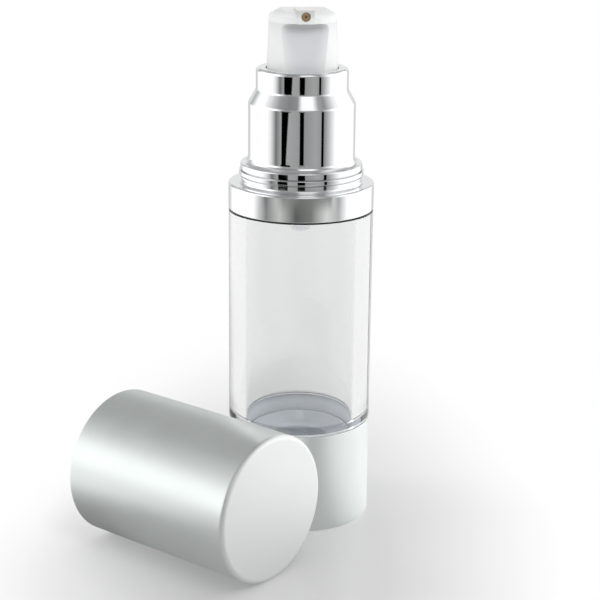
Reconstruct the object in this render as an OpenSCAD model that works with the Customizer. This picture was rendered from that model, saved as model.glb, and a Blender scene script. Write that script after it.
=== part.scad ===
// Airless pump bottle with its overcap off and laid beside it. Millimetres, +Z up.
// The origin is the middle of the foot, on the surface that the bottle stands on.
// -Y is the side that the outlet faces, give or take the turn of the button.

/* [Bottle] */
// Outer radius shared by the base and the clear body
bottle_r = 17; // [16:0.25:20]
// Height of the metal base
base_h = 24.75; // [22:0.25:40]
// Height of the clear wall between the base and the collar
body_h = 51.25; // [35:0.25:90]
// Thickness of the clear wall
wall_t = 4; // [3.5:0.25:5]
// Thickness of the drawn skins of base and overcap
skin_t = 0.5; // [0.35:0.05:0.7]

/* [Base] */
// Rounding of the foot's edge
foot_round = 1.2; // [0.8:0.1:2]
// Width of the rim that the foot stands on
foot_rim = 4.5; // [4:0.25:8]
// Depth of the recess under the foot
foot_recess_d = 0.8; // [0.3:0.1:1.5]
// Radius of the air vents in the foot and in the deck above it
vent_r = 0.9; // [0.5:0.1:1.5]
// Wall of the plastic plug inside the base
plug_t = 1.1; // [0.8:0.1:1.6]
// Top of the plug's deck, where the chamber ends
deck_z = 6.8; // [6:0.2:13]
// Thickness of the deck
deck_t = 1.2; // [0.8:0.1:2]
// Number of ribs under the deck
plug_ribs = 8; // [4:1:12]
// Thickness of each rib
rib_t = 0.9; // [0.6:0.1:1.4]

/* [Body neck] */
// Thickness of the shoulder above the chamber
shoulder_t = 2.6; // [1.8:0.1:3]
// Height of the neck above the shoulder
neck_h = 12.5; // [11:0.25:14]
// Wall of the neck
neck_t = 2; // [1.4:0.1:2.6]
// How far the snap bead stands out of the neck
neck_bead = 0.6; // [0.4:0.05:0.7]

/* [Follower piston] */
// Height of the piston
piston_h = 14; // [12:0.5:16]
// Height of each sealing lip
lip_h = 1.5; // [1:0.1:2.5]
// How far the waist lies inside the lips
waist_d = 0.7; // [0.4:0.1:1]
// Wall of the piston
piston_t = 1.2; // [0.8:0.1:1.5]
// Width of the slope from the rim down to the shelf
rim_slope = 1.85; // [1:0.05:2.6]
// Depth of the shelf below the rim
shelf_d = 2.2; // [1.8:0.1:3]
// Width of the shelf in the dish
shelf_w = 1.6; // [1.2:0.1:2.4]
// Depth of the middle of the dish below the rim
core_d = 7; // [6.6:0.2:8]

/* [Collar] */
// Thickness of the sealing ring between body and collar, seen as a dark line
seal_t = 0.4; // [0.3:0.05:0.8]
// How far the wide ring stands proud of the body
ring_proud = 0.05; // [0:0.05:0.3]
// Height of the wide ring
ring_h = 6.1; // [5:0.1:8]
// Rounding of the wide ring's upper edge
ring_round = 0.5; // [0.3:0.1:1.4]
// Wall of the collar
collar_t = 0.55; // [0.45:0.05:0.7]
// Width of the step from the wide ring in to the band above it
ring_step = 2.79; // [2.2:0.01:3.2]
// Height of the band
band_h = 4.6; // [4.2:0.1:5]
// Rounding of the band's upper edge
band_round = 0.5; // [0.3:0.05:0.6]
// How far the snap ring that holds the overcap stands out of the band
snap_proud = 0.3; // [0.15:0.01:0.4]
// Height of the snap ring's lower edge above the wide ring
snap_rise = 1.9; // [1.4:0.1:2]
// Height of the snap ring
snap_h = 1; // [0.8:0.1:1.2]
// Height of the grooves beside the snap ring
groove_h = 0.35; // [0.2:0.05:0.45]
// Depth of the grooves
groove_d = 0.25; // [0.1:0.05:0.3]
// Width of the step from the band in to the straight sleeve
band_step = 1.81; // [1.4:0.01:2.1]
// Height of the sleeve from the band to the slope
sleeve_h = 14; // [13.5:0.1:18]
// Width of the flare at the sleeve's foot
flare_w = 1.2; // [0.6:0.05:1.25]
// Height of the flare
flare_h = 1.6; // [0.8:0.1:2]
// Height of the slope
slope_h = 3.1; // [2:0.1:5]
// Width of the slope from the sleeve in to the throat
slope_w = 1.75; // [1.2:0.05:2.4]
// Width of the throat's edge round the button
throat_w = 2.25; // [2:0.05:2.8]
// Height of the throat
throat_h = 5; // [4.5:0.1:7]
// Rounding of the throat's upper edge
throat_round = 0.8; // [0.3:0.1:1]

/* [Closure] */
// Wall of the snap skirt that grips the neck
closure_t = 1.1; // [0.8:0.1:1.3]
// Thickness of the web over the pump's flange
web_t = 1.2; // [0.8:0.1:1.6]

/* [Pump] */
// Outer radius of the pump cylinder
pump_r = 5.2; // [5:0.1:5.8]
// Wall of the pump cylinder
pump_t = 1.2; // [1:0.1:1.5]
// Thickness of the washer under the flange
washer_t = 0.6; // [0.4:0.1:1]
// Thickness of the flange
flange_t = 1.2; // [0.8:0.1:1.6]
// Height of the cylinder above the flange
hub_h = 3; // [2.6:0.1:4]
// Travel of the button
stroke = 4.5; // [3:0.25:4.5]
// Drop of the inlet nub below the body's top
nub_drop = 4.8; // [4:0.1:5.6]
// Radius of the inlet nub
nub_r = 2.6; // [2.4:0.1:3]
// Length of the inlet nub below the cylinder
nub_h = 4; // [3.6:0.1:4.4]
// Radius of the inlet hole
inlet_r = 0.9; // [0.7:0.05:1]
// Radius of the inlet ball
inlet_ball_r = 1.6; // [1.5:0.05:1.65]
// Lift of both valve balls
ball_lift = 0.9; // [0.5:0.1:1]
// Radius of the outlet ball
outlet_ball_r = 1.3; // [1.2:0.05:1.35]
// Outer radius of the stem
stem_r = 2.2; // [2.1:0.05:2.5]
// Bore radius of the stem
stem_bore_r = 0.9; // [0.7:0.05:1]
// Height of the dosing piston
seal_h = 3; // [2.4:0.1:3.2]
// Thickness of the stem's foot
stem_foot_t = 1; // [0.8:0.1:1.4]
// Radius of the spring's wire
wire_r = 0.35; // [0.25:0.05:0.38]
// Mean radius of the spring
coil_r = 3; // [2.9:0.05:3.2]
// Number of coils
coils = 6.5; // [5:0.5:7]

/* [Button] */
// Height of the button above the collar
button_h = 13.4; // [12:0.1:18]
// How far the button draws in from its skirt to the bevel
button_draft = 0.48; // [0.2:0.02:0.8]
// Width of the bevel round the crown
bevel_w = 2.3; // [0.8:0.02:2.6]
// Height of the bevel
bevel_h = 1.25; // [0.5:0.05:1.5]
// Depth of the finger saddle across the crown
dish_d = 0.45; // [0.2:0.05:0.6]
// Wall of the skirt
button_t = 1.3; // [1:0.1:1.5]
// Depth of the skirt inside the collar
skirt_in = 6; // [5:0.1:6.4]
// Gap between the skirt and the collar
button_gap = 0.25; // [0.15:0.05:0.4]
// Drop of the brow's lower edge below the crown
brow_drop = 2.7; // [2.5:0.1:3.4]
// Depth of the scoop under the brow, from the skirt's radius in
scoop_d = 2.7; // [2:0.1:3]
// Depth of the scoop at the collar
scoop_low_d = 1.2; // [0.8:0.1:1.6]
// Fillet between the brow and the scooped face
scoop_round = 1.2; // [0.4:0.1:1.6]
// Width of the spout bar
spout_w = 3.8; // [3.2:0.1:4.6]
// How far the front of the spout bar rises above the crown
spout_rise = 0.35; // [0.1:0.05:0.6]
// How far the spout's front face lies inside the skirt's radius
spout_in = 0.3; // [0.1:0.05:0.4]
// Drop of the outlet's middle below the crown
outlet_drop = 1.1; // [1.1:0.05:1.5]
// Radius of the outlet
outlet_r = 1.07; // [0.8:0.01:1.1]
// Depth of the outlet
outlet_d = 1.6; // [1.2:0.1:2]
// Radius of the channel behind the outlet
channel_r = 0.6; // [0.4:0.05:0.7]
// Turn of the button away from straight ahead, in degrees
button_turn = 5.3; // [-180:0.1:180]

/* [Overcap] */
// Length of the overcap
cap_len = 46.5; // [43.5:0.5:60]
// Rounding of the closed end's edge
cap_round = 1.1; // [0.8:0.1:1.4]
// Wall of the liner
liner_t = 1.2; // [0.8:0.1:1.6]
// Length of the snap mouth inside the liner
mouth_len = 5; // [4.4:0.1:7]
// Clearance of the mouth round the snap ring
mouth_gap = 0.06; // [0.03:0.01:0.1]
// Direction of the laid cap's closed end, in degrees from +X
cap_turn = -38.4; // [-60:0.1:-20]
// Gap between the laid cap and the bottle
cap_gap = 2.05; // [0.5:0.05:30]
// Place of the cap's mouth along its own axis, from the bottle's middle
cap_shift = -25; // [-60:0.5:0]

/* [Hidden] */
$fn = 96;

// Clearances
snug = 0.03;       // pressed pieces that share a wall
loose = 0.05;      // pieces that are set into each other
slide = 0.05;      // running fit of pistons and stem
seat = 0.03;       // a ball above its seat
joint_gap = 0.15;  // shadow gap between metal and clear body

// Heights, from the floor up
body_top = base_h + body_h;
chamber_top = body_top + seal_t;
shoulder_z = chamber_top + shoulder_t;
neck_top = shoulder_z + neck_h;
flange_z = neck_top + washer_t;
web_z = flange_z + flange_t + loose;
hub_top = flange_z + flange_t + hub_h;
ring_z = chamber_top;
ring_top = ring_z + ring_h;
snap_z = ring_top + snap_rise;
band_top = ring_top + band_h;
slope_z = band_top + sleeve_h;
throat_z = slope_z + slope_h;
collar_top = throat_z + throat_h;
crown_z = collar_top + button_h;
brow_z = crown_z - brow_drop;
outlet_z = crown_z - outlet_drop;

// Radii that follow from the widths and the fits, from the outside in
chamber_r = bottle_r - wall_t;
foot_recess_r = bottle_r - foot_rim;
ring_r = bottle_r + ring_proud;
band_r = ring_r - ring_step;
snap_r = band_r + snap_proud;
sleeve_r = band_r - band_step;
throat_r = sleeve_r - slope_w;
mouth_r = throat_r - throat_w;
button_r = mouth_r - button_gap;
bevel_r = button_r - button_draft;
crown_r = bevel_r - bevel_w;
scoop_top = button_r - scoop_d;
scoop_low = button_r - scoop_low_d;
spout_y = button_r - spout_in;
plug_r = bottle_r - skin_t - snug;
spigot_r = plug_r - plug_t - loose;
spigot_bead = 0.25;
boss_r = band_r + 0.14;
neck_r = sleeve_r - collar_t - loose - closure_t - loose - neck_bead;
neck_bore = neck_r - neck_t;
pump_bore_r = pump_r - pump_t;

// Snap beads: depth below the body's joint and below the neck's top
spigot_grip = 5;
neck_grip = 4.3;

// Pump, from the inlet up
nub_z = body_top - nub_drop;
pump_floor = nub_z + nub_h;
ball_room_r = inlet_ball_r + 0.22;
inlet_seat_z = nub_z + 1.3;
inlet_ball_z = inlet_seat_z - inlet_r + inlet_ball_r * sqrt(2) + seat;
spring_seat_z = inlet_ball_z + inlet_ball_r + ball_lift + 0.05;
spring_seat_t = 0.8;
spring_z = spring_seat_z + spring_seat_t + loose;
retainer_in = 3.1;
seal_top = hub_top - retainer_in - 0.1;
stem_foot_z = seal_top - seal_h - stem_foot_t;
spring_len = stem_foot_z - loose - spring_z;
retainer_t = 0.8;
stem_top = collar_top + 2.8;
outlet_seat_z = stem_top - 4;
outlet_ball_z = outlet_seat_z - stem_bore_r + outlet_ball_r * sqrt(2) + seat;
socket_z = hub_top + snug + retainer_t + stroke + 0.1;
socket_top = stem_top + loose;

// Overcap, in the frame where its mouth is at z = 0
cap_r = ring_r;
liner_r = cap_r - skin_t - snug;
cap_mouth_r = snap_r + mouth_gap;
cap_bead_r = snap_r - 0.12;

// Points of the rounded corner at b between a and c, with radius r
function bend(a, b, c, r, n = 6) =
    let (ab = norm(a - b),
         cb = norm(c - b),
         u = (a - b) / ab,
         v = (c - b) / cb,
         half = acos(max(-1, min(1, u * v))) / 2,
         t = min(r / tan(half), 0.49 * ab, 0.49 * cb),
         q = t * tan(half),
         w = (u + v) / norm(u + v),
         m = b + w * (q / sin(half)),
         p0 = b + u * t,
         p1 = b + v * t,
         a0 = atan2(p0.y - m.y, p0.x - m.x),
         a1 = atan2(p1.y - m.y, p1.x - m.x),
         d = ((a1 - a0 + 540) % 360) - 180)
    [for (i = [0:n]) m + q * [cos(a0 + d * i / n), sin(a0 + d * i / n)]];

// Outline with the third number of each point as the radius of its corner
function soft(p) =
    [for (i = [0:len(p) - 1])
        let (a = p[(i + len(p) - 1) % len(p)],
             b = p[i],
             c = p[(i + 1) % len(p)])
        each (len(b) < 3 ? [b] : bend([a.x, a.y], [b.x, b.y], [c.x, c.y], b[2]))];

module turned(p)
    rotate_extrude() polygon(soft(p));

// Height lost at the slope's corners by a surface o inside the collar
function slope_shift(o) = o * tan(atan2(sleeve_r - throat_r, slope_h) / 2);

// The collar's main outline, o inside its outer surface, from the foot up
function collar_path(o) = [
    [ring_r - o, ring_z],
    [ring_r - o, ring_top - o],
    [band_r - o, ring_top - o],
    [band_r - o, band_top - o],
    [sleeve_r - o, band_top - o],
    [sleeve_r - o, slope_z - slope_shift(o)],
    [throat_r - o, throat_z - slope_shift(o)],
    [throat_r - o, collar_top - o]];

// Part of the list in reverse order
function back(p) = [for (i = [len(p) - 1:-1:0]) p[i]];

module base_shell() {
    step_w = 0.6;
    rim_z = base_h - joint_gap;
    inner_r = bottle_r - skin_t;
    color([0.80, 0.81, 0.81]) turned([
        [vent_r, foot_recess_d],
        [foot_recess_r - step_w, foot_recess_d, 0.4],
        [foot_recess_r, 0, 0.3],
        [bottle_r, 0, foot_round],
        [bottle_r, rim_z, 0.1],
        [inner_r, rim_z],
        [inner_r, skin_t, foot_round - skin_t],
        [foot_recess_r + 0.2, skin_t, 0.3],
        [foot_recess_r + 0.2 - step_w, foot_recess_d + skin_t, 0.4],
        [vent_r, foot_recess_d + skin_t]]);
}

module base_insert() {
    wall_in = spigot_r + loose;
    groove_z = base_h - spigot_grip;
    rib_z = foot_recess_d + skin_t + 0.1;
    color([0.93, 0.93, 0.92]) {
        turned([
            [vent_r, deck_z - deck_t],
            [wall_in, deck_z - deck_t],
            [wall_in, skin_t + loose],
            [plug_r - foot_round + 0.3, skin_t + loose],
            [plug_r, skin_t + loose + foot_round - 0.3],
            [plug_r, base_h - 0.1],
            [wall_in, base_h - 0.1],
            [wall_in, groove_z + 0.8],
            [wall_in + spigot_bead, groove_z + 0.5],
            [wall_in + spigot_bead, groove_z - 0.5],
            [wall_in, groove_z - 0.8],
            [wall_in, deck_z],
            [vent_r, deck_z]]);
        for (i = [0:plug_ribs - 1])
            rotate([0, 0, i * 360 / plug_ribs + 12])
                translate([3, -rib_t / 2, rib_z])
                    cube([wall_in - 3 + 0.3, rib_t, deck_z - deck_t - rib_z + 0.2]);
        difference() {
            translate([0, 0, rib_z])
                cylinder(r = 3.6, h = deck_z - deck_t - rib_z + 0.2);
            translate([0, 0, rib_z - 1])
                cylinder(r = 2.6, h = deck_z);
        }
    }
}

module bottle_body() {
    bead_z = base_h - spigot_grip;
    neck_bead_z = neck_top - neck_grip;
    color([0.90, 0.92, 0.93, 0.35]) turned([
        [chamber_r, deck_z + 0.1],
        [spigot_r, deck_z + 0.1, 0.4],
        [spigot_r, bead_z - 0.7],
        [spigot_r + spigot_bead, bead_z - 0.4],
        [spigot_r + spigot_bead, bead_z + 0.4],
        [spigot_r, bead_z + 0.7],
        [spigot_r, base_h],
        [bottle_r, base_h, 0.2],
        [bottle_r, body_top, 0.2],
        [boss_r, body_top],
        [boss_r, shoulder_z, 0.6],
        [neck_r, shoulder_z, 0.4],
        [neck_r, neck_bead_z],
        [neck_r + neck_bead, neck_bead_z + 0.2],
        [neck_r + neck_bead, neck_bead_z + 0.6],
        [neck_r, neck_bead_z + 1.2],
        [neck_r, neck_top, 0.3],
        [neck_bore, neck_top, 0.2],
        [neck_bore, chamber_top, 0.5],
        [chamber_r, chamber_top, 0.3]]);
}

module follower_piston() {
    low = deck_z + 0.3;
    top = low + piston_h;
    lip_r = chamber_r - slide;
    waist_r = lip_r - waist_d;
    rim_r = waist_r - 0.2;
    shelf_out = rim_r - rim_slope;
    shelf_r = shelf_out - 0.6;
    core_r = shelf_r - shelf_w;
    shelf_z = top - shelf_d;
    color([0.60, 0.64, 0.68]) turned([
        [0, top - core_d],
        [core_r - 0.4, top - core_d, 0.6],
        [core_r, shelf_z - 0.2, 0.3],
        [shelf_r, shelf_z, 0.3],
        [shelf_out, shelf_z + 0.7, 0.3],
        [rim_r, top, 0.2],
        [lip_r, top, 0.15],
        [lip_r, top - lip_h],
        [waist_r, top - lip_h - 0.6],
        [waist_r, low + lip_h + 0.6],
        [lip_r, low + lip_h],
        [lip_r, low, 0.3],
        [waist_r - piston_t, low, 0.3],
        [waist_r - piston_t, low + lip_h + 1.2],
        [waist_r - piston_t, shelf_z - piston_t, 0.4],
        [core_r + piston_t, shelf_z - 0.4 - piston_t, 0.4],
        [core_r + piston_t, low + 0.4],
        [core_r, low + 0.4],
        [core_r, top - core_d - piston_t],
        [0, top - core_d - piston_t]]);
}

module shoulder_gasket() {
    color([0.10, 0.10, 0.11]) turned([
        [boss_r + 0.1, body_top],
        [ring_r - 0.35, body_top],
        [ring_r - 0.35, ring_z],
        [boss_r + 0.1, ring_z]]);
}

module neck_gasket() {
    color([0.75, 0.76, 0.77]) turned([
        [neck_bore + 0.2, neck_top],
        [neck_r, neck_top],
        [neck_r, flange_z],
        [neck_bore + 0.2, flange_z]]);
}

module pump_closure() {
    o = collar_t + loose;
    grip_r = neck_r + neck_bead + loose;
    hook_z = neck_top - neck_grip - loose;
    guide_r = mouth_r + 0.1;
    color([0.94, 0.94, 0.93]) turned(concat(
        collar_path(o),
        [[guide_r, collar_top - o],
         [guide_r, web_z + web_t, 0.3],
         [pump_r + 0.3, web_z + web_t],
         [pump_r + 0.3, web_z],
         [grip_r, web_z],
         [grip_r, hook_z],
         [neck_r + 0.1, hook_z],
         [neck_r + 0.1, hook_z - 0.6],
         [grip_r, hook_z - 1.2],
         [grip_r, shoulder_z + loose],
         [boss_r + 0.1, shoulder_z + loose],
         [boss_r + 0.1, ring_z]]));
}

module collar_sleeve() {
    low_groove = snap_z - groove_h;
    high_groove = snap_z + snap_h;
    flare = min(flare_w, band_step - band_round - 0.08);
    color([0.86, 0.87, 0.88]) turned(concat(
        [[ring_r, ring_z, 0.15],
         [ring_r, ring_top, ring_round],
         [band_r + 0.65, ring_top]],
        [for (a = [0:15:90])
            [band_r + 0.65 * (1 - sin(a)), ring_top + 0.65 * (1 - cos(a))]],
        [[band_r, low_groove],
         [band_r - groove_d, low_groove],
         [band_r - groove_d, snap_z],
         [snap_r, snap_z, 0.12],
         [snap_r, high_groove, 0.12],
         [band_r - groove_d, high_groove],
         [band_r - groove_d, high_groove + groove_h],
         [band_r, high_groove + groove_h],
         [band_r, band_top, band_round]],
        [for (a = [0:15:90])
            [sleeve_r + flare * (1 - sin(a)), band_top + flare_h * (1 - cos(a))]],
        [[sleeve_r, slope_z, 1],
         [throat_r, throat_z, 0.8],
         [throat_r, collar_top, throat_round],
         [mouth_r, collar_top, 0.2],
         [mouth_r, collar_top - collar_t]],
        back(collar_path(collar_t))));
}

module pump_housing() {
    wall_in = ball_room_r;
    color([0.90, 0.91, 0.92]) turned([
        [inlet_r, nub_z, 0.2],
        [nub_r, nub_z, 0.9],
        [nub_r, pump_floor, 0.3],
        [pump_r, pump_floor, 0.6],
        [pump_r, flange_z, 0.3],
        [neck_r, flange_z],
        [neck_r, flange_z + flange_t, 0.2],
        [pump_r, flange_z + flange_t],
        [pump_r, hub_top, 0.2],
        [pump_bore_r, hub_top],
        [pump_bore_r, spring_seat_z],
        [wall_in, spring_seat_z],
        [wall_in, inlet_seat_z + wall_in - inlet_r],
        [inlet_r, inlet_seat_z]]);
}

module inlet_ball() {
    color([0.75, 0.76, 0.78]) translate([0, 0, inlet_ball_z])
        sphere(r = inlet_ball_r);
}

module spring_seat() {
    color([0.88, 0.90, 0.92]) difference() {
        translate([0, 0, spring_seat_z])
            cylinder(r = pump_bore_r - snug, h = spring_seat_t);
        translate([0, 0, spring_seat_z - 1])
            cylinder(r = 0.8, h = spring_seat_t + 2);
        for (i = [0:2])
            rotate([0, 0, i * 120])
                translate([1.1, -0.35, spring_seat_z - 1])
                    cube([1.2, 0.7, spring_seat_t + 2]);
    }
}

// Spring: one tube along a helix with flat ends
coil_steps = 16;
coil_sides = 6;
flat_turns = 0.3;
coil_rings = coils * coil_steps;

// How much of its height the coil has climbed at ring i
function climb(i) =
    let (t = (i / coil_steps - flat_turns) / (coils - 2 * flat_turns))
    max(0, min(1, t));

function coil_mid(i) = [
    coil_r * cos(360 * i / coil_steps),
    coil_r * sin(360 * i / coil_steps),
    spring_z + wire_r + (spring_len - 2 * wire_r) * climb(i)];

function coil_dir(i) =
    let (d = coil_mid(min(coil_rings, i + 0.5)) - coil_mid(max(0, i - 0.5)))
    d / norm(d);

function coil_ring(i) =
    let (c = coil_mid(i),
         n = [cos(360 * i / coil_steps), sin(360 * i / coil_steps), 0],
         b = cross(coil_dir(i), n))
    [for (k = [0:coil_sides - 1])
        c + wire_r * (cos(360 * k / coil_sides) * n + sin(360 * k / coil_sides) * b)];

// Least free space between two turns of the spring
coil_gap = min([for (i = [0:coil_rings - coil_steps / 2])
    for (j = [i + coil_steps / 2:coil_rings])
        norm(coil_mid(i) - coil_mid(j))]) - 2 * wire_r;

module return_spring() {
    echo(spring_gap = coil_gap);
    last = coil_rings * coil_sides;
    color([0.70, 0.71, 0.73]) polyhedron(
        points = [for (i = [0:coil_rings]) each coil_ring(i)],
        faces = concat(
            [[for (k = [0:coil_sides - 1]) k]],
            [for (i = [0:coil_rings - 1])
                for (k = [0:coil_sides - 1])
                    [i * coil_sides + k,
                     (i + 1) * coil_sides + k,
                     (i + 1) * coil_sides + (k + 1) % coil_sides]],
            [for (i = [0:coil_rings - 1])
                for (k = [0:coil_sides - 1])
                    [i * coil_sides + k,
                     (i + 1) * coil_sides + (k + 1) % coil_sides,
                     i * coil_sides + (k + 1) % coil_sides]],
            [[for (k = [coil_sides - 1:-1:0]) last + k]]));
}

module piston_seal() {
    low = stem_foot_z + stem_foot_t;
    lip = pump_bore_r - slide;
    color([0.95, 0.94, 0.90]) turned([
        [stem_r + snug, low],
        [lip - 0.7, low],
        [lip, low + 0.1],
        [lip, low + 0.7],
        [lip - 0.5, low + 1],
        [lip - 0.5, seal_top - 1],
        [lip, seal_top - 0.7],
        [lip, seal_top],
        [lip - 0.5, seal_top],
        [stem_r + 0.6, seal_top - 0.6],
        [stem_r + snug, seal_top - 0.6]]);
}

module pump_stem() {
    room = outlet_ball_r + 0.2;
    color([0.93, 0.93, 0.92]) turned([
        [stem_bore_r, stem_foot_z],
        [pump_bore_r - 0.5, stem_foot_z, 0.2],
        [pump_bore_r - 0.5, stem_foot_z + stem_foot_t - 0.02],
        [stem_r, stem_foot_z + stem_foot_t - 0.02],
        [stem_r, stem_top, 0.3],
        [room, stem_top],
        [room, outlet_seat_z + room - stem_bore_r],
        [stem_bore_r, outlet_seat_z]]);
}

module stem_retainer() {
    color([0.90, 0.90, 0.89]) turned([
        [stem_r + slide, hub_top - retainer_in],
        [pump_bore_r - snug, hub_top - retainer_in, 0.2],
        [pump_bore_r - snug, hub_top + snug],
        [pump_r, hub_top + snug],
        [pump_r, hub_top + snug + retainer_t, 0.3],
        [stem_r + slide, hub_top + snug + retainer_t]]);
}

module outlet_ball() {
    color([0.75, 0.76, 0.78]) translate([0, 0, outlet_ball_z])
        sphere(r = outlet_ball_r);
}

// Prism across the button, in front of the scooped face and below the brow.
// Moving it back by o gives the inside of the scooped wall.
module scoop(o) {
    top = [-scoop_top + o, brow_z - o];
    lean = (scoop_low - scoop_top) / (brow_z - collar_top);
    drop = brow_z - (collar_top - skirt_in - 2);
    rotate([90, 0, 90]) linear_extrude(height = 40, center = true) polygon(soft([
        [-30, brow_z - o],
        [top.x, top.y, scoop_round],
        [top.x - lean * drop, top.y - drop],
        [-30, top.y - drop]]));
}

module turn_button()
    rotate([0, 0, button_turn]) children();

module actuator() {
    skirt_z = collar_top - skirt_in;
    inner_r = button_r - button_t;
    roof_z = brow_z - button_t;
    tube_r = stem_r + 1.4;
    riser_r = 1.1;
    saddle_w = crown_r - 0.4;
    saddle_r = (saddle_w * saddle_w + dish_d * dish_d) / (2 * dish_d);
    color([0.95, 0.96, 0.96]) turn_button() difference() {
        union() {
            difference() {
                turned([
                    [0, skirt_z],
                    [button_r, skirt_z, 0.3],
                    [button_r, collar_top + 0.5],
                    [bevel_r, crown_z - bevel_h, 0.35],
                    [crown_r, crown_z, 0.3],
                    [0, crown_z]]);
                scoop(0);
                difference() {
                    translate([0, 0, skirt_z - 1])
                        cylinder(r = inner_r, h = roof_z - skirt_z + 1);
                    scoop(button_t);
                }
                translate([0, 0, crown_z - dish_d + saddle_r]) rotate([90, 0, 0])
                    cylinder(r = saddle_r, h = 40, center = true, $fn = 180);
            }
            rotate([90, 0, 90]) linear_extrude(height = spout_w, center = true)
                polygon([
                    [-spout_y, brow_z],
                    [1.6, brow_z],
                    [1.6, crown_z - 0.1],
                    [-spout_y + 1.5, crown_z + spout_rise],
                    [-spout_y, crown_z + spout_rise]]);
            translate([0, 0, socket_z])
                cylinder(r = tube_r, h = roof_z - socket_z + 0.5);
        }
        translate([0, 0, socket_z - 1])
            cylinder(r = stem_r + slide, h = socket_top - socket_z + 1);
        difference() {
            translate([0, 0, socket_top - 1])
                cylinder(r = riser_r, h = outlet_z - socket_top + 1);
            translate([-riser_r - 0.3, -0.3, socket_top])
                cube([2 * riser_r + 0.6, 0.6, 0.9]);
        }
        translate([0, 0, outlet_z]) rotate([90, 0, 0])
            cylinder(r = channel_r, h = spout_y + 1);
        translate([0, -spout_y + outlet_d, outlet_z]) rotate([90, 0, 0])
            cylinder(r = outlet_r, h = outlet_d + 1);
    }
}

module nozzle_plug() {
    front = 0.25;
    color([0.72, 0.55, 0.36]) turn_button()
        translate([0, -spout_y + outlet_d - loose, outlet_z]) rotate([90, 0, 0])
            difference() {
                cylinder(r = outlet_r - snug, h = outlet_d - loose - front);
                translate([0, 0, -1])
                    cylinder(r = 0.2, h = outlet_d + 2);
            }
}

// Lays the cap on its side beside the bottle, mouth towards the back left
module laid()
    rotate([0, 0, cap_turn])
        translate([cap_shift, -(bottle_r + cap_gap + cap_r), cap_r])
            rotate([0, 90, 0]) children();

module overcap_shell() {
    color([0.80, 0.81, 0.81]) laid() turned([
        [0, cap_len],
        [cap_r, cap_len, cap_round],
        [cap_r, 0, 0.1],
        [cap_r - skin_t, 0],
        [cap_r - skin_t, cap_len - skin_t, max(0.1, cap_round - skin_t)],
        [0, cap_len - skin_t]]);
}

module overcap_liner() {
    roof = cap_len - skin_t - snug;
    inner = liner_r - liner_t;
    color([0.95, 0.95, 0.94]) laid() turned([
        [0, roof],
        [liner_r, roof, max(0.3, cap_round - skin_t)],
        [liner_r, 0.1],
        [cap_mouth_r + (liner_r - cap_mouth_r) / 4, 0.1],
        [cap_mouth_r, 0.6],
        [cap_mouth_r, mouth_len - 1.8],
        [cap_bead_r, mouth_len - 1.6],
        [cap_bead_r, mouth_len - 1],
        [inner, mouth_len],
        [inner, roof - liner_t, 1],
        [0, roof - liner_t]]);
}

base_shell();
base_insert();
bottle_body();
follower_piston();
shoulder_gasket();
neck_gasket();
pump_closure();
collar_sleeve();
pump_housing();
inlet_ball();
spring_seat();
return_spring();
piston_seal();
pump_stem();
stem_retainer();
outlet_ball();
actuator();
nozzle_plug();
overcap_shell();
overcap_liner();
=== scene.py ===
"""Airless pump bottle with its overcap laid beside it: looks, studio and camera."""
import math

import bpy
from mathutils import Matrix, Vector


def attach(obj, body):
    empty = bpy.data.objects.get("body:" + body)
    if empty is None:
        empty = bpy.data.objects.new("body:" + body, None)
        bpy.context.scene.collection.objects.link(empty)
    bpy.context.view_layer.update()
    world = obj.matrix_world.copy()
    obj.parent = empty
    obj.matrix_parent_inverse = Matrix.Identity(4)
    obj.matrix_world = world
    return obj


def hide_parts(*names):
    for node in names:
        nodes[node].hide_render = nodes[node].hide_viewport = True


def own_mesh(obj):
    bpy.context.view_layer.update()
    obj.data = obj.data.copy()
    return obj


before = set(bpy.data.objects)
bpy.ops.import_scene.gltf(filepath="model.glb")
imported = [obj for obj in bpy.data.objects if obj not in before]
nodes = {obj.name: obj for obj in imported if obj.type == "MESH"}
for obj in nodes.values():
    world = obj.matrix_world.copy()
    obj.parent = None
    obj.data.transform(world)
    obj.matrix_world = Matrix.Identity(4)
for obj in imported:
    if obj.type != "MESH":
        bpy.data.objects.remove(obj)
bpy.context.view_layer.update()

# Places on the part, in millimetres in the row frame at rest.
BASE_JOINT_Z = 24.2  # where the base plug's rim meets the barrel
SHELL_BORE_R = 16.75
BARREL_Z = (34.0, 78.0)  # the clear wall's tone changes between these heights
BARREL_FOOT_SHADE_Z = ((23.6, 25.6), (25.9, 26.3))  # painted shade at the bore's foot: a dark band that rises, then ends
BARREL_BORE_R = (13.8, 14.2)
SLOPE_CORNERS_Z = ((100.2, 101.9), (103.3, 105.0))  # corners above and below the collar's slope
SCOOP_R = (6.6, 8.4)
SCOOP_TOP_Z = (119.7, 120.1)
SCOOP_FACE_Z = (110.0, 119.0)
BROW_Z = (117.0, 119.7)
CROWN_Z = (120.6, 122.4)
CAP_WAY = (0.7837, -0.6211)  # along the laid cap, towards its closed end
CAP_END = 21.5

# Distances from the bottle's axis, in millimetres, at which bright metal mirrors the floor disc.
# A higher part of the collar mirrors the disc farther off.
CLOSE_TO_RING = (150.0, 230.0)
RING_FOOT_TO_RIM = (340.0, 366.0)
RIM_TO_BAND = (372.0, 376.0)
BAND_TO_SLEEVE = (416.0, 424.0)
SLEEVE = (430.0, 680.0)
SLEEVE_TO_THROAT = (590.0, 640.0)

# Places and sizes on the floor, in metres.
SHADE_POOL_MIDDLE_Y = -0.03  # painted shade: the grey pool round the group is an ellipse
SHADE_POOL_HALF = (0.070, 0.185)
# painted shadow on the floor round the cap's front foot
CAP_SHADOW_MIDDLE = (-0.026, -0.050, 0.0)
BY_CAP_END = (0.075, -0.034, 0.0)
FLOOR_RADIUS = 6.0
FLOOR_DROP = 0.00002  # keeps the floor just clear of what stands on it

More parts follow.
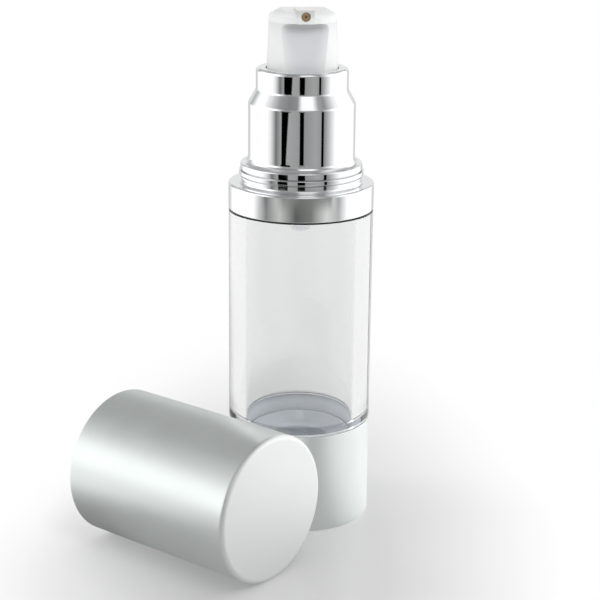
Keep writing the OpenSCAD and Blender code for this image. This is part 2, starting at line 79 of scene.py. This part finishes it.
PER_METRE = 1000.0  # millimetres
NOISE_SPREAD = (0.3, 0.7)  # a noise value is spread over this range
GRAIN_DEPTH = 0.00002  # metres
BLACK = (0.0, 0.0, 0.0, 1.0)


# ---------------------------------------------------------------- node graphs
def grey(level):
    return (level, level, level, 1.0)


class Graph:
    """A small helper to write a node tree as plain calls."""

    def __init__(self, tree, fresh=True):
        self.tree = tree
        if fresh:
            tree.nodes.clear()

    def node(self, kind, **values):
        made = self.tree.nodes.new(kind)
        for key, value in values.items():
            setattr(made, key, value)
        return made

    def put(self, socket, value):
        if isinstance(value, bpy.types.NodeSocket):
            self.tree.links.new(value, socket)
        elif value is not None:
            socket.default_value = value

    def math(self, operation, a, b=None, clamp=False):
        made = self.node("ShaderNodeMath", operation=operation, use_clamp=clamp)
        for socket, value in zip(made.inputs, (a, b)):
            self.put(socket, value)
        return made.outputs[0]

    def radius(self, x, y):
        """Length of the flat vector x, y."""
        return self.math("SQRT", self.math(
            "ADD", self.math("MULTIPLY", x, x), self.math("MULTIPLY", y, y)))

    def vector(self, operation, a, b):
        made = self.node("ShaderNodeVectorMath", operation=operation)
        self.put(made.inputs[0], a)
        self.put(made.inputs[1], b)
        return made.outputs["Value" if operation == "DISTANCE" else "Vector"]

    def span(self, value, low, high, to_low=0.0, to_high=1.0, smooth=False):
        """value carried from low..high to to_low..to_high, held at the ends."""
        made = self.node("ShaderNodeMapRange", clamp=True)
        if smooth:
            made.interpolation_type = "SMOOTHSTEP"
        for socket, part in zip(made.inputs, (value, low, high, to_low, to_high)):
            self.put(socket, part)
        return made.outputs[0]

    def between(self, value, low, high, soft):
        """1 where value lies between low and high, with soft edges."""
        rise = self.span(self.math("SUBTRACT", value, low), -soft, soft)
        fall = self.span(self.math("SUBTRACT", high, value), -soft, soft)
        return self.math("MULTIPLY", rise, fall)

    def ramp(self, value, stops):
        """Grey level by value, from a list of (place, level)."""
        made = self.node("ShaderNodeValToRGB")
        ramp = made.color_ramp
        ramp.interpolation = "LINEAR"
        while len(ramp.elements) < len(stops):
            ramp.elements.new(0.5)
        for element, (place, level) in zip(ramp.elements, stops):
            element.position = place
            element.color = grey(level)
        self.put(made.inputs[0], value)
        return made.outputs[0]

    def noise(self, where, scale, detail=2.0, rough=0.5):
        made = self.node("ShaderNodeTexNoise")
        self.put(made.inputs["Vector"], where)
        made.inputs["Scale"].default_value = scale
        made.inputs["Detail"].default_value = detail
        made.inputs["Roughness"].default_value = rough
        return made.outputs["Fac"]

    def mix(self, factor, a, b):
        """Blend of two colours; a mix node's colour sockets are 6, 7 and 2."""
        made = self.node("ShaderNodeMix", data_type="RGBA")
        self.put(made.inputs[0], factor)
        self.put(made.inputs[6], a)
        self.put(made.inputs[7], b)
        return made.outputs[2]

    def mix_shader(self, factor, a, b):
        made = self.node("ShaderNodeMixShader")
        for socket, value in zip(made.inputs, (factor, a, b)):
            self.put(socket, value)
        return made.outputs[0]

    def bump(self, height, strength, distance, normal=None):
        made = self.node("ShaderNodeBump")
        made.inputs["Strength"].default_value = strength
        made.inputs["Distance"].default_value = distance
        self.put(made.inputs["Height"], height)
        self.put(made.inputs["Normal"], normal)
        return made.outputs[0]

    def parts(self, vector):
        made = self.node("ShaderNodeSeparateXYZ")
        self.put(made.inputs[0], vector)
        return made.outputs[:3]

    def join(self, x, y, z):
        made = self.node("ShaderNodeCombineXYZ")
        for socket, value in zip(made.inputs, (x, y, z)):
            self.put(socket, value)
        return made.outputs[0]

    def place_mm(self):
        """The point on the piece in millimetres, in the row frame at rest."""
        made = self.node("ShaderNodeTexCoord")
        return self.vector("MULTIPLY", made.outputs["Object"], (PER_METRE, PER_METRE, PER_METRE))

    def seen(self, path):
        """1 for rays of the eye, straight or through the clear wall."""
        return self.math("MAXIMUM", path.outputs["Is Camera Ray"], path.outputs["Is Transmission Ray"])

    def out(self, shader, kind="ShaderNodeOutputMaterial"):
        made = self.node(kind)
        self.tree.links.new(shader, made.inputs["Surface"])


# ------------------------------------------------------------------ materials
def new_material(name):
    made = bpy.data.materials.new(name)
    made.use_nodes = True
    return made, Graph(made.node_tree)


def plastic(name, dark, light, rough=(0.3, 0.4), grain=2.0, bump=0.015, **sockets):
    """Moulded plastic: cloudy colour, fine surface grain, uneven gloss."""
    made, g = new_material(name)
    where = g.place_mm()
    shader = g.node("ShaderNodeBsdfPrincipled")
    cloud = g.noise(where, 0.25, 3.0, 0.55)
    g.put(shader.inputs["Base Color"], g.mix(g.span(cloud, *NOISE_SPREAD), dark, light))
    g.put(shader.inputs["Roughness"], g.span(cloud, *NOISE_SPREAD, *rough))
    g.put(shader.inputs["Normal"], g.bump(g.noise(where, grain), bump, GRAIN_DEPTH))
    shader.inputs["IOR"].default_value = 1.5
    for key, value in sockets.items():
        shader.inputs[key.replace("_", " ")].default_value = value
    g.out(shader.outputs[0])
    return made


def colour_of(made):
    """Graph of a finished plastic, its colour socket, and what feeds that socket so far."""
    g = Graph(made.node_tree, fresh=False)
    shader = next(n for n in made.node_tree.nodes if n.type == "BSDF_PRINCIPLED")
    socket = shader.inputs["Base Color"]
    return g, socket, socket.links[0].from_socket


def seated_plastic(name):
    """Pale plug with a faint painted glow that stands in for light the clear wall carries in, a little
    greyer on its rim, where it meets the barrel's joint.
    """
    # painted glow: the emission stands in for light carried in through the clear wall
    made = plastic(name, (0.80, 0.83, 0.89, 1), (0.84, 0.87, 0.92, 1), (0.4, 0.5),
                   Emission_Color=(0.92, 0.95, 1.0, 1), Emission_Strength=0.09)
    g, socket, colour = colour_of(made)
    height = g.parts(g.place_mm())[2]
    rim = g.span(height, BASE_JOINT_Z, BASE_JOINT_Z + 0.3)
    g.put(socket, g.mix(rim, colour, (0.62, 0.64, 0.70, 1)))
    return made


def button_plastic(name):
    """White button: pale outside, with painted shade that makes it cooler and darker in the scoop, a
    painted shadow under the brow, and painted shade that greys the crown.
    """
    made = plastic(name, (0.90, 0.915, 0.91, 1), (0.93, 0.94, 0.935, 1), (0.30, 0.38), 1.5, 0.006)
    g, socket, colour = colour_of(made)
    x, y, z = g.parts(g.place_mm())
    inside = g.math("MULTIPLY",
                    g.span(g.radius(x, y), *SCOOP_R, 1.0, 0.0, smooth=True),
                    g.span(z, *SCOOP_TOP_Z, 1.0, 0.0))
    # painted shade: the scoop is cooler and grows darker towards the brow
    painted_scoop_shade = g.mix(g.span(z, *SCOOP_FACE_Z), (0.80, 0.815, 0.85, 1), (0.71, 0.725, 0.755, 1))
    # painted shadow under the brow
    scoop = g.mix(g.span(z, *BROW_Z, smooth=True), painted_scoop_shade, (0.50, 0.505, 0.51, 1))
    # painted shade: the crown greys towards its top
    outside = g.mix(g.span(z, *CROWN_Z, smooth=True), colour, (0.69, 0.70, 0.69, 1))
    g.put(socket, g.mix(inside, outside, scoop))
    return made


def satin_metal(name, end=None, bore_r=None):
    """Bead-blasted, anodised aluminium: matte, with fine grain and slightly rubbed patches.
    end = (way, place): past this place along that way the surface is rougher, and its colour is painted
    paler, as painted light on the cap's closed end.
    bore_r: inside this radius the cup is bare, and given a painted glow that stands in for light the
    clear wall carries in."""
    made, g = new_material(name)
    where = g.place_mm()
    x, y = g.parts(where)[:2]
    shader = g.node("ShaderNodeBsdfPrincipled")
    cloud = g.noise(where, 0.12, 4.0, 0.6)
    grain = g.noise(where, 11.0, 2.0, 0.6)
    colour = g.mix(g.span(cloud, *NOISE_SPREAD), (0.76, 0.80, 0.788, 1), (0.795, 0.835, 0.823, 1))
    rough = g.span(cloud, *NOISE_SPREAD, 0.36, 0.42)
    if end:
        way, place = end
        along = g.math("ADD", g.math("MULTIPLY", x, way[0]), g.math("MULTIPLY", y, way[1]))
        # painted light: past the place the colour is painted paler, and the surface is made rougher
        end_rough_and_painted_pale = g.span(along, place - 0.9, place - 0.1)
        colour = g.mix(end_rough_and_painted_pale, colour, (0.94, 0.965, 0.955, 1))
        rough = g.math("ADD", rough, g.math("MULTIPLY", end_rough_and_painted_pale, 0.2))
    if bore_r:
        # painted glow: emission inside the bore stands in for light the clear wall carries in
        shader.inputs["Emission Color"].default_value = (0.93, 0.96, 0.97, 1)
        glow = g.span(g.radius(x, y), bore_r - 0.1, bore_r, 0.35, 0.0)
        g.put(shader.inputs["Emission Strength"], glow)
    g.put(shader.inputs["Base Color"], colour)
    shader.inputs["Metallic"].default_value = 1.0
    g.put(shader.inputs["Roughness"], rough)
    g.put(shader.inputs["Normal"], g.bump(grain, 0.10, GRAIN_DEPTH))
    g.out(shader.outputs[0])
    return made


def bright_metal(name):
    """Polished and plated collar: mirror gloss with faint turning lines and handling haze,
    painted shade in its creases, and softened at the corners of its slope."""
    made, g = new_material(name)
    where = g.place_mm()
    x, y, z = g.parts(where)
    shader = g.node("ShaderNodeBsdfPrincipled")
    haze = g.noise(where, 0.35, 4.0, 0.6)
    angle = g.math("ARCTAN2", y, x)
    turned = g.join(g.math("MULTIPLY", angle, 0.6), 0.0, g.math("MULTIPLY", z, 9.0))
    lines = g.noise(turned, 1.0, 3.0, 0.6)
    clean = g.mix(g.span(haze, *NOISE_SPREAD), (0.85, 0.87, 0.875, 1), (0.88, 0.89, 0.90, 1))
    crease_reach, corner_radius = 0.0004, 0.0005
    # painted shade: ambient occlusion darkens the colour in the creases and grooves
    crease_shade = g.node("ShaderNodeAmbientOcclusion", samples=8, only_local=True)
    crease_shade.inputs["Distance"].default_value = crease_reach
    unshaded_share = g.span(crease_shade.outputs["AO"], 0.25, 0.75)
    g.put(shader.inputs["Base Color"], g.mix(unshaded_share, (0.10, 0.11, 0.115, 1), clean))
    shader.inputs["Metallic"].default_value = 1.0
    g.put(shader.inputs["Roughness"], g.span(haze, 0.35, 0.75, 0.02, 0.05))
    soft = g.node("ShaderNodeBevel", samples=6)
    corners = g.math("MAXIMUM", *(g.between(z, low, high, 0.4) for low, high in SLOPE_CORNERS_Z))
    g.put(soft.inputs["Radius"], g.math("MULTIPLY", corners, corner_radius))
    g.put(shader.inputs["Normal"], g.bump(lines, 0.05, 0.00001, soft.outputs[0]))
    g.out(shader.outputs[0])
    return made


def clear_plastic(name):
    """Clear moulded wall: refracts as acrylic does, carries painted shade at the bore's foot, and lets
    the lamps through to what it holds.
    """
    made, g = new_material(name)
    where = g.place_mm()
    x, y, height = g.parts(where)
    ripple = g.noise(g.vector("MULTIPLY", where, (1.0, 1.0, 0.15)), 0.6)
    shader = g.node("ShaderNodeBsdfPrincipled")
    clear = g.mix(g.span(height, *BARREL_Z), (0.86, 0.865, 0.865, 1), (0.89, 0.895, 0.893, 1))
    # painted shade: a dark band at the bore's foot, where the barrel meets the base
    rising, ending = BARREL_FOOT_SHADE_Z
    foot_shade = g.math("MULTIPLY", g.span(height, *rising), g.span(height, *ending, 1.0, 0.0))
    foot_shade = g.math("MULTIPLY", foot_shade, g.span(g.radius(x, y), *BARREL_BORE_R, 1.0, 0.0))
    g.put(shader.inputs["Base Color"], g.mix(foot_shade, clear, (0.40, 0.41, 0.43, 1)))
    shader.inputs["Roughness"].default_value = 0.03
    shader.inputs["IOR"].default_value = 1.49
    shader.inputs["Transmission Weight"].default_value = 1.0
    g.put(shader.inputs["Normal"], g.bump(ripple, 0.03, 0.00004))
    through = g.node("ShaderNodeBsdfTransparent")
    through.inputs["Color"].default_value = (0.95, 0.955, 0.955, 1)
    path = g.node("ShaderNodeLightPath")
    g.out(g.mix_shader(path.outputs["Is Shadow Ray"], shader.outputs[0], through.outputs[0]))
    return made


# Each material, with the pieces that have it.
LOOKS = [
    (satin_metal("satin_silver", bore_r=SHELL_BORE_R), ["base_shell"]),
    (satin_metal("satin_cap", end=(CAP_WAY, CAP_END)), ["overcap_shell"]),
    (satin_metal("spring_steel"), ["return_spring", "inlet_ball", "outlet_ball"]),
    (bright_metal("bright_chrome"), ["collar_sleeve"]),
    (clear_plastic("clear_body"), ["bottle_body"]),
    (plastic("grey_piston", (0.39, 0.412, 0.445, 1), (0.44, 0.463, 0.495, 1), (0.35, 0.45)),
     ["follower_piston"]),
    (seated_plastic("pale_insert"), ["base_insert"]),
    (plastic("dark_rubber", (0.012, 0.012, 0.014, 1), (0.02, 0.02, 0.022, 1), (0.5, 0.6), 9.0, 0.12),
     ["shoulder_gasket"]),
    (button_plastic("white_button"), ["actuator"]),
    (plastic("tan_plug", (0.25, 0.17, 0.08, 1), (0.33, 0.23, 0.12, 1), (0.45, 0.55), 8.0, 0.1),
     ["nozzle_plug"]),
    (plastic("white_inner", (0.78, 0.79, 0.78, 1), (0.84, 0.845, 0.84, 1), (0.35, 0.45)),
     ["pump_closure", "overcap_liner", "stem_retainer", "pump_stem"]),
    # natural_inner: its faint emission is a painted glow that stands in for light carried in through
    # the clear wall
    (plastic("natural_inner", (0.76, 0.78, 0.79, 1), (0.84, 0.85, 0.86, 1), (0.25, 0.35),
             Subsurface_Weight=0.4, Subsurface_Scale=0.002,
             Emission_Color=(0.95, 0.97, 1.0, 1), Emission_Strength=0.3),
     ["pump_housing", "piston_seal", "spring_seat", "neck_gasket"]),
]
for look, names in LOOKS:
    for name in names:
        mesh = nodes[name].data
        mesh.materials.clear()
        mesh.materials.append(look)


def shortening_spring():
    """Copy of the return spring, with its own mesh, hung on the bottle's body in place of the original.
    """
    base = nodes["return_spring"]
    made = bpy.data.objects.new("return_spring_turns", base.data.copy())
    made.matrix_world = base.matrix_world.copy()
    bpy.context.scene.collection.objects.link(made)
    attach(made, "bottle")
    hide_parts("return_spring")
    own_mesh(made)


shortening_spring()


# --------------------------------------------------------------------- camera
def photo_camera(lens=99.03, pitch_deg=16.688, roll_deg=0.582, eye=(0, -0.3787, 0.1668)):
    """Fitted to the photograph, for a square picture."""
    data = bpy.data.cameras.new("camera")
    data.sensor_width = 36.0
    data.lens = lens
    data.clip_start, data.clip_end = 0.01, 50.0
    pitch, roll = math.radians(pitch_deg), math.radians(roll_deg)
    ahead = Vector((0, math.cos(pitch), -math.sin(pitch)))
    right = Vector((1, 0, 0))
    up = right.cross(ahead)
    side = math.cos(roll) * right + math.sin(roll) * up
    top = -math.sin(roll) * right + math.cos(roll) * up
    turn = Matrix((side, top, -ahead)).transposed().to_4x4()
    made = bpy.data.objects.new("camera", data)
    made.matrix_world = Matrix.Translation(eye) @ turn
    bpy.context.scene.collection.objects.link(made)
    bpy.context.scene.camera = made


photo_camera()


# --------------------------------------------------------------------- studio
def softbox(name, turn, rise, distance, width, height, power, aim=(0, 0, 0.06)):
    """Lamp aimed at the bottle: turn is its azimuth in degrees, 0 on the camera's side and 90 to the
    right, and rise its elevation; metres and watts."""
    data = bpy.data.lights.new(name, "AREA")
    data.shape = "RECTANGLE"
    data.size, data.size_y = width, height
    data.energy = power
    a, e = math.radians(turn), math.radians(rise)
    way = Vector((math.sin(a) * math.cos(e), -math.cos(a) * math.cos(e), math.sin(e)))
    made = bpy.data.objects.new(name, data)
    made.location = Vector(aim) + way * distance
    made.rotation_mode = "QUATERNION"
    made.rotation_quaternion = way.to_track_quat("Z", "Y")
    made.visible_glossy = False
    bpy.context.scene.collection.objects.link(made)


# What shines in the metal is set by the world's walls and the floor's table, so the lamps only light.
LAMPS = [  # name, turn, rise, distance, width, height, power
    ("key", 22, 50, 0.9, 0.34, 0.34, 2.0),
    ("fill_left", -95, 30, 1.0, 0.6, 0.5, 2.8),
    ("fill_right", 105, 30, 1.0, 0.6, 0.5, 3.2),
    ("top", 150, 84, 1.1, 0.8, 0.8, 2.6),
]
for lamp in LAMPS:
    softbox(*lamp)


def azimuth(g, x, y):
    """Direction from the bottle's axis, in degrees: 0 towards the camera, 90 to the right."""
    return g.math("MULTIPLY", g.math("ARCTAN2", x, g.math("MULTIPLY", y, -1.0)), 180 / math.pi)


def around(g, turn, stops):
    """Level by azimuth from a list of (degrees, level)."""
    share = g.span(turn, -180.0, 180.0)
    return g.ramp(share, [(0.5 + place / 360, level) for place, level in stops])


def studio_world():
    """White to the eye, dim and even for the fill light, and walls and cards for what shines."""
    world = bpy.data.worlds.new("studio")
    bpy.context.scene.world = world
    world.use_nodes = True
    g = Graph(world.node_tree)
    coord = g.node("ShaderNodeTexCoord")
    x, y, z = g.parts(coord.outputs["Generated"])
    turn = azimuth(g, x, y)
    walls = around(g, turn, [
        (-180, 0.5), (-140, 0.5), (-112, 1.5), (-62, 1.5), (-40, 0.35), (0, 0.40), (45, 0.35),
        (75, 1.45), (138, 1.45), (155, 0.5), (180, 0.5)])
    high = around(g, turn, [
        (-180, 0.45), (-120, 0.45), (-85, 0.75), (-60, 0.35), (-35, 0.25), (-12, 0.3), (0, 1.1),
        (28, 1.2), (44, 0.4), (60, 0.3), (85, 0.9), (120, 0.8), (150, 0.45), (180, 0.45)])
    zenith = g.mix(g.span(z, 0.82, 0.96, smooth=True), high, grey(0.35))
    behind = g.span(g.math("ABSOLUTE", turn), 140.0, 160.0)
    back_wall = g.math("MULTIPLY", g.span(z, 0.26, 0.34, 1.0, 0.0), behind)
    low = g.mix(back_wall, walls, grey(0.85))
    studio = g.mix(g.span(z, 0.40, 0.62, smooth=True), low, zenith)
    path = g.node("ShaderNodeLightPath")
    unseen = g.mix(path.outputs["Is Glossy Ray"], grey(0.5), studio)
    back = g.node("ShaderNodeBackground")
    g.put(back.inputs["Color"], g.mix(g.seen(path), unseen, grey(1.0)))
    g.out(back.outputs[0], "ShaderNodeOutputWorld")


studio_world()


def table(g, turn, front):
    """Level of the mirrored table by azimuth: white walls at the sides, front's levels between."""
    return around(g, turn, [
        (-180, 0.6), (-150, 0.7), (-135, 1.2), (-79, 1.2), *front,
        (77, 1.2), (140, 1.2), (152, 0.7), (180, 0.6)])


def dark_flags(g, turn, far):
    """1 on the three dark flags that stand on the table; the middle one widens towards the throat."""
    sleeve = g.span(far, *BAND_TO_SLEEVE)
    throat = g.span(far, *SLEEVE_TO_THROAT)
    left_start = g.span(throat, 0.0, 1.0, -43.2, -45.0)
    left_end = g.span(sleeve, 0.0, 1.0, -24.5, g.span(far, *SLEEVE, -33.0, -23.5))
    middle, half = 0.4, g.math(
        "ADD", g.span(sleeve, 0.0, 1.0, 6.8, 4.4), g.math("MULTIPLY", throat, 2.2))
    flag_left = g.between(turn, left_start, left_end, 0.8)
    flag_middle = g.between(turn, g.math("SUBTRACT", middle, half), g.math("ADD", middle, half), 0.7)
    flag_right = g.between(turn, 42.0, 47.6, 0.6)
    return g.math("MAXIMUM", flag_left, g.math("MAXIMUM", flag_middle, flag_right))


def table_cards(g, where, turn, far):
    """What metal mirrors of the floor: far off a grey table with white walls and dark flags for the
    collar, and near the bottle softer levels for the base and the cap."""
    plain = table(g, turn, [
        (-68, 0.85), (-56, 0.18), (-45, 0.4), (-25, 0.4), (8, 0.31), (30, 0.4), (50, 0.3), (60, 0.6)])
    upper = g.mix(dark_flags(g, turn, far), plain, BLACK)
    foot = table(g, turn, [
        (-68, 0.65), (-55, 0.26), (-33, 0.6), (-8, 0.12), (16, 0.22), (40, 0.75), (60, 0.5)])
    rim = table(g, turn, [
        (-68, 0.7), (-56, 0.18), (-39, 0.58), (-27, 0.28), (0, 0.2), (46, 0.28), (51, 0.68), (60, 0.4)])
    ring = g.mix(g.span(far, *RING_FOOT_TO_RIM), foot, rim)
    tint = g.mix(g.between(turn, -50.0, 50.0, 6.0), grey(1.0), (0.985, 1.0, 0.965, 1))
    front = g.mix(g.span(far, *RIM_TO_BAND), g.vector("MULTIPLY", ring, tint), upper)

    close = around(g, turn, [
        (-180, 0.55), (-150, 0.4), (-125, 0.12), (-75, 0.12), (-50, 0.35), (0, 0.45), (35, 0.5),
        (70, 1.0), (100, 1.25), (135, 1.2), (155, 0.6), (180, 0.55)])
    left = g.between(turn, -135.0, -55.0, 12.0)
    beyond_cap = g.math("MULTIPLY", left, g.span(far, 60.0, 105.0, smooth=True))
    close = g.mix(beyond_cap, close, grey(1.1))
    by_cap_end = g.vector("DISTANCE", where, BY_CAP_END)
    close = g.mix(g.span(by_cap_end, 0.020, 0.055, 1.0, 0.0, smooth=True), close, grey(1.05))
    return g.mix(g.span(far, *CLOSE_TO_RING), close, front)


def floor_material(name):
    """Pale sweep with painted shade, greyer round the group, and a painted shadow by the cap; near the
    group it partly glows with its own tone, which weakens the lamps' shadows, and beyond the lamps'
    reach it shows its own tone.
    """
    made, g = new_material(name)
    where = g.node("ShaderNodeNewGeometry").outputs["Position"]
    x, y = g.parts(where)[:2]
    far = g.math("MULTIPLY", g.radius(x, y), PER_METRE)
    away = g.radius(g.math("MULTIPLY", x, 1 / SHADE_POOL_HALF[0]),
                    g.math("MULTIPLY", g.math("SUBTRACT", y, SHADE_POOL_MIDDLE_Y), 1 / SHADE_POOL_HALF[1]))
    # painted shade: the floor's tone greys towards the group
    tone = g.ramp(g.span(away, 0.0, 1.25), [
        (0.0, 0.66), (0.24, 0.70), (0.38, 0.78), (0.50, 0.86), (0.61, 0.93), (0.72, 0.985),
        (0.85, 1.0), (1.0, 1.0)])
    to_cap_shadow = g.vector("DISTANCE", where, CAP_SHADOW_MIDDLE)
    # painted shadow: the floor is darker round the cap's front foot
    tone = g.mix(g.span(to_cap_shadow, 0.008, 0.060, 0.89, 1.0, smooth=True), BLACK, tone)
    shader = g.node("ShaderNodeBsdfPrincipled")
    g.put(shader.inputs["Base Color"], tone)
    shader.inputs["Roughness"].default_value = 0.22
    shader.inputs["Specular IOR Level"].default_value = 0.35
    path = g.node("ShaderNodeLightPath")
    # A rough transmitted ray counts as glossy too, so it is taken off.
    glossy = g.math("SUBTRACT", path.outputs["Is Glossy Ray"], path.outputs["Is Transmission Ray"],
                    clamp=True)
    glow = g.node("ShaderNodeEmission")
    cards = table_cards(g, where, azimuth(g, x, y), far)
    g.put(glow.inputs["Color"], g.mix(glossy, tone, cards))
    # near the group the floor partly glows with its painted tone, which weakens the lamps' shadows
    plain = g.math("MULTIPLY", g.span(away, 0.75, 1.15, 0.38, 1.0, smooth=True), g.seen(path))
    mirrored = g.math("MULTIPLY", g.span(far, *CLOSE_TO_RING, 0.8, 1.0, smooth=True), glossy)
    g.out(g.mix_shader(g.math("MAXIMUM", plain, mirrored), shader.outputs[0], glow.outputs[0]))
    return made


def floor_disc(radius, sides=96):
    """One flat polygon in the floor's material."""
    mesh = bpy.data.meshes.new("floor")
    angles = [2 * math.pi * k / sides for k in range(sides)]
    rim = [(radius * math.cos(a), radius * math.sin(a), 0.0) for a in angles]
    mesh.from_pydata(rim, [], [range(sides)])
    mesh.materials.append(floor_material("pale_floor"))
    made = bpy.data.objects.new("floor", mesh)
    made.location.z = -FLOOR_DROP
    bpy.context.scene.collection.objects.link(made)


floor_disc(FLOOR_RADIUS)

scene = bpy.context.scene
scene.view_settings.view_transform = "Standard"
